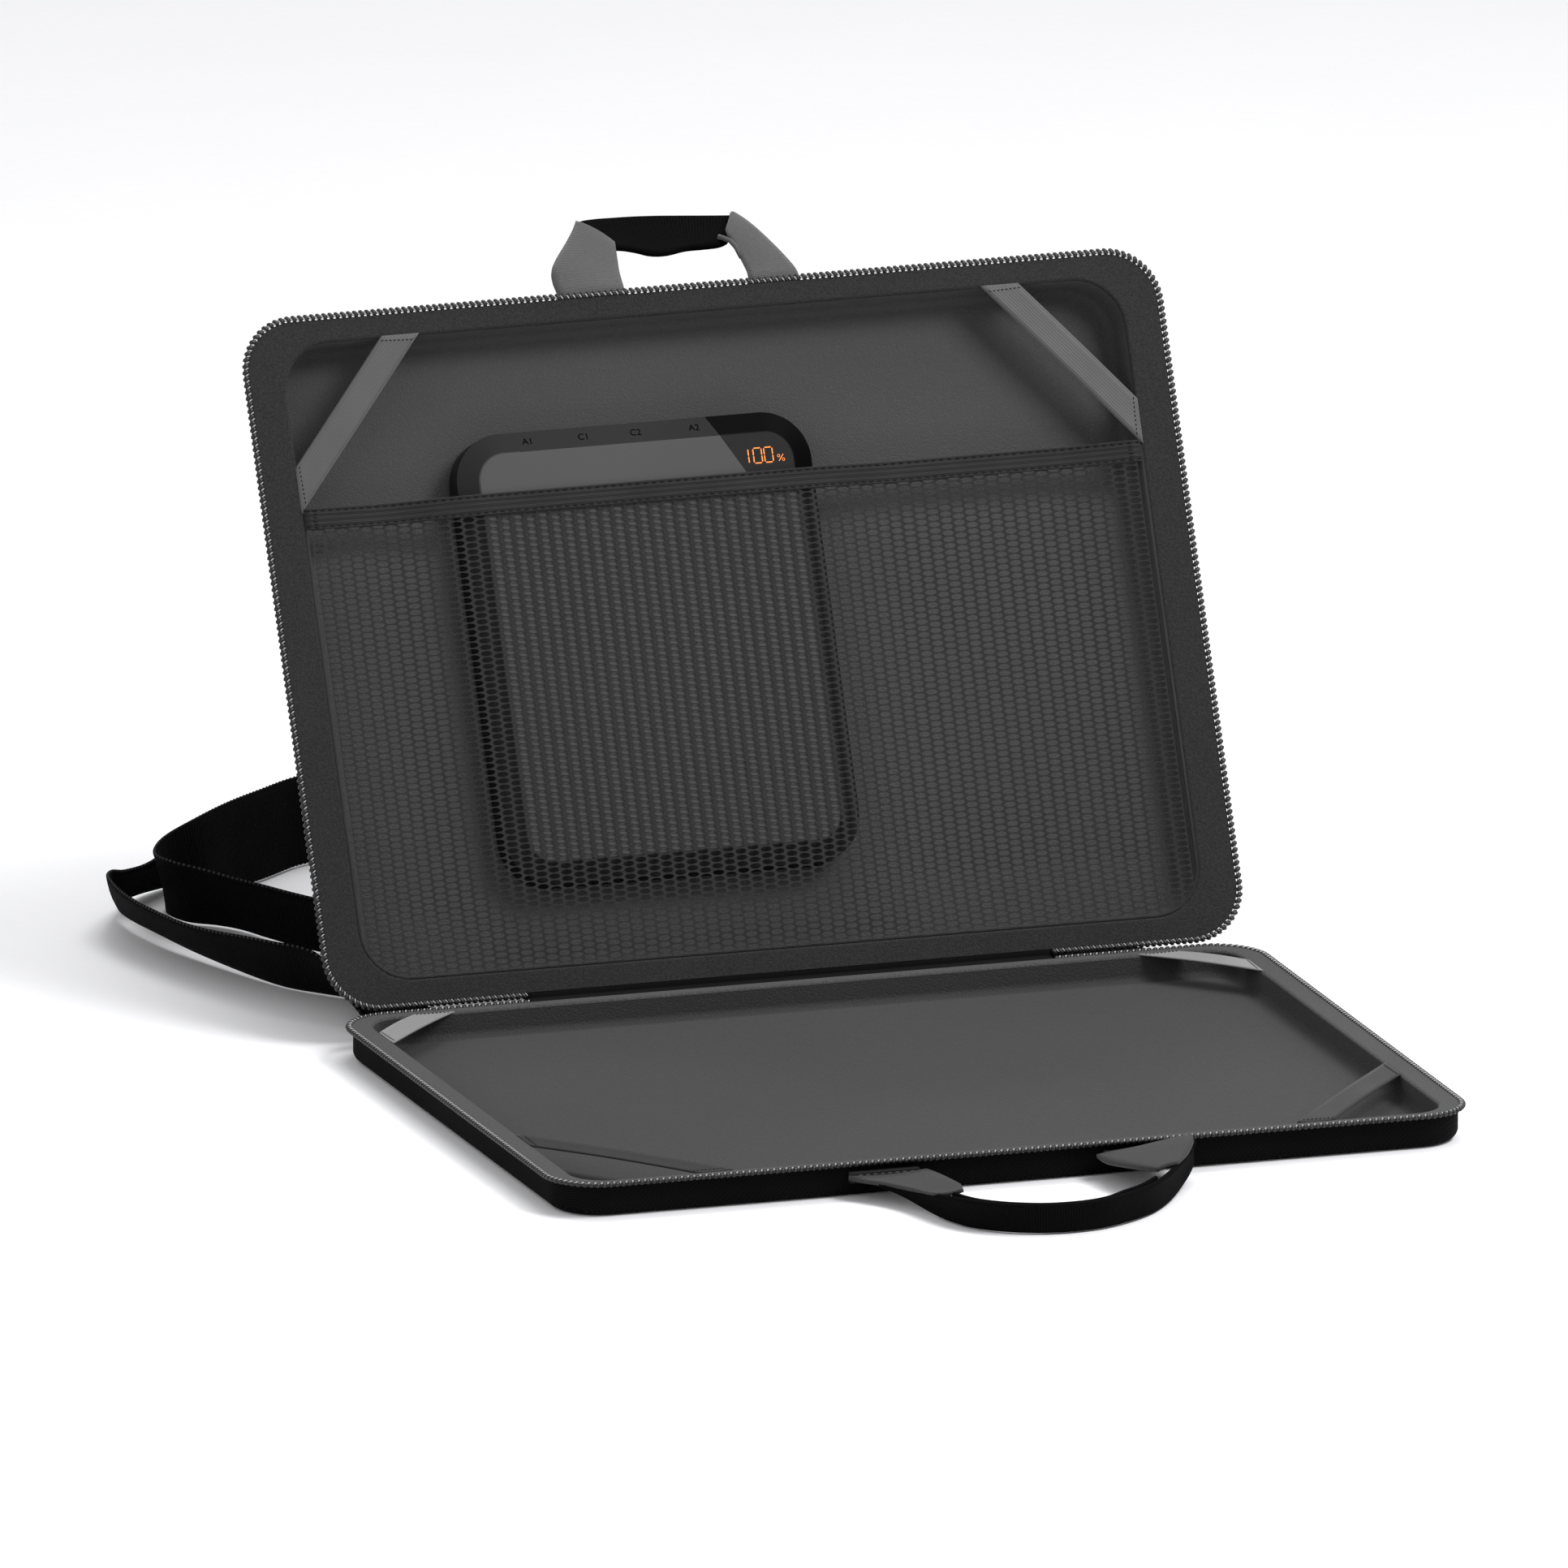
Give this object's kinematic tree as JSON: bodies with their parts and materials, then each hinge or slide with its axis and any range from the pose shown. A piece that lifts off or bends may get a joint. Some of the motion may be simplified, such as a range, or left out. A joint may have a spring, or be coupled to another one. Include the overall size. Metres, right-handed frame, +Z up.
{
  "type": "solar charging laptop case",
  "caption": "Zip-around hard-shell laptop case stood open, with a mesh lid pocket holding a power bank, webbing handles and a shoulder strap, and a solar panel on its lid.",
  "frame": {"origin": "centre of the tray's underside, on the surface it rests on", "axes": "+X to the right along the spine, +Y from the handle side towards the spine, +Z up"},
  "size_m": [0.4187, 0.6638, 0.2955],
  "materials": {
    "shell_fabric": "black twill over moulded foam",
    "lining_flange": "charcoal fine-grain knit over foam",
    "tray_lining": "mid-grey fine-grain knit over foam",
    "stiffener": "plain sheet",
    "coil": "black nylon coil with a bright thread",
    "tape": "woven tape",
    "elastic": "grey satin elastic",
    "mesh": "black knitted mesh with oval holes",
    "webbing": "black ribbed webbing",
    "webbing_grey": "grey ribbed webbing",
    "metal": "satin black zinc",
    "pv_cell": "dark blue monocrystalline cell in laminate",
    "pv_film": "clear dimpled film",
    "pv_backing": "black laminate",
    "bank_plastic": "satin dark grey",
    "bank_dark": "satin near black",
    "bank_gloss": "gloss black",
    "digits": "lit orange",
    "socket_metal": "plated",
    "board": "green circuit board",
    "pouch": "pouch foil"
  },
  "bodies": {
    "tray": {"tray_shell": "shell_fabric", "tray_board": "stiffener", "tray_liner": "tray_lining", "tray_zip_coil": "coil", "tray_zip_tape": "tape", "tray_spine_strip": "tape", "tray_band_front_left": "elastic", "tray_band_front_right": "elastic", "tray_band_rear_left": "elastic", "tray_band_rear_right": "elastic", "tray_handle_anchors": "webbing_grey", "shoulder_strap": "webbing", "d_ring_left": "metal", "d_ring_right": "metal", "ring_tab_left": "webbing", "ring_tab_right": "webbing", "strap_end_left": "webbing", "strap_end_right": "webbing"},
    "lid": {"lid_shell": "shell_fabric", "lid_liner": "lining_flange", "lid_zip_coil": "coil", "lid_zip_tape": "tape", "lid_spine_strip": "tape", "lid_band_left": "elastic", "lid_band_right": "elastic", "mesh_pocket": "mesh", "pocket_hem": "mesh", "lid_handle_anchors": "webbing_grey", "pv_backing": "pv_backing", "pv_cells": "pv_cell", "pv_film": "pv_film", "pv_border": "tape", "pv_junction_box": "bank_dark", "pv_output_socket": "socket_metal"},
    "tray_handle": {"tray_handle": "webbing_grey"},
    "lid_handle": {"lid_handle": "webbing_grey"},
    "power_bank": {"bank_back": "bank_plastic", "bank_front": "bank_plastic", "bank_corner_panel": "bank_gloss", "bank_port_strip": "bank_dark", "bank_display": "digits", "bank_sockets_wide": "socket_metal", "bank_sockets_narrow": "socket_metal", "bank_cells": "pouch", "bank_board": "board"},
    "slider_left": {"zip_slider_left": "metal"},
    "slider_right": {"zip_slider_right": "metal"},
    "pull_left": {"zip_pull_left": "metal"},
    "pull_right": {"zip_pull_right": "metal"}
  },
  "joints": [
    {"name": "lid_hinge", "type": "hinge", "parent": "tray", "child": "lid", "pos_m": [0, 0.142, 0.015], "axis": [-1, 0, 0], "range_deg": [-114.75, 20]},
    {"name": "tray_handle_swing", "type": "hinge", "parent": "tray", "child": "tray_handle", "pos_m": [0, -0.1436, 0.0085], "axis": [-1, 0, 0], "range_deg": [0, 85]},
    {"name": "lid_handle_swing", "type": "hinge", "parent": "lid", "child": "lid_handle", "pos_m": [0, 0.26797, 0.27153], "axis": [-1, 0, 0], "range_deg": [-36, 50]},
    {"name": "power_bank_slide", "type": "slide", "parent": "lid", "child": "power_bank", "axis": [0, 0.4187, 0.9081], "range_m": [-0.03, 0.038]},
    {"name": "zip_slide_left", "type": "slide", "parent": "tray", "child": "slider_left", "axis": [-1, 0, 0], "range_m": [0, 0.04]},
    {"name": "zip_slide_right", "type": "slide", "parent": "tray", "child": "slider_right", "axis": [1, 0, 0], "range_m": [0, 0.04]},
    {"name": "zip_pull_swing_left", "type": "hinge", "parent": "slider_left", "child": "pull_left", "pos_m": [-0.1223, 0.1472, 0.0106], "axis": [0, 0, -1], "range_deg": [-150, 0]},
    {"name": "zip_pull_swing_right", "type": "hinge", "parent": "slider_right", "child": "pull_right", "pos_m": [0.1167, 0.1472, 0.0106], "axis": [0, 0, 1], "range_deg": [-150, 0]}
  ]
}
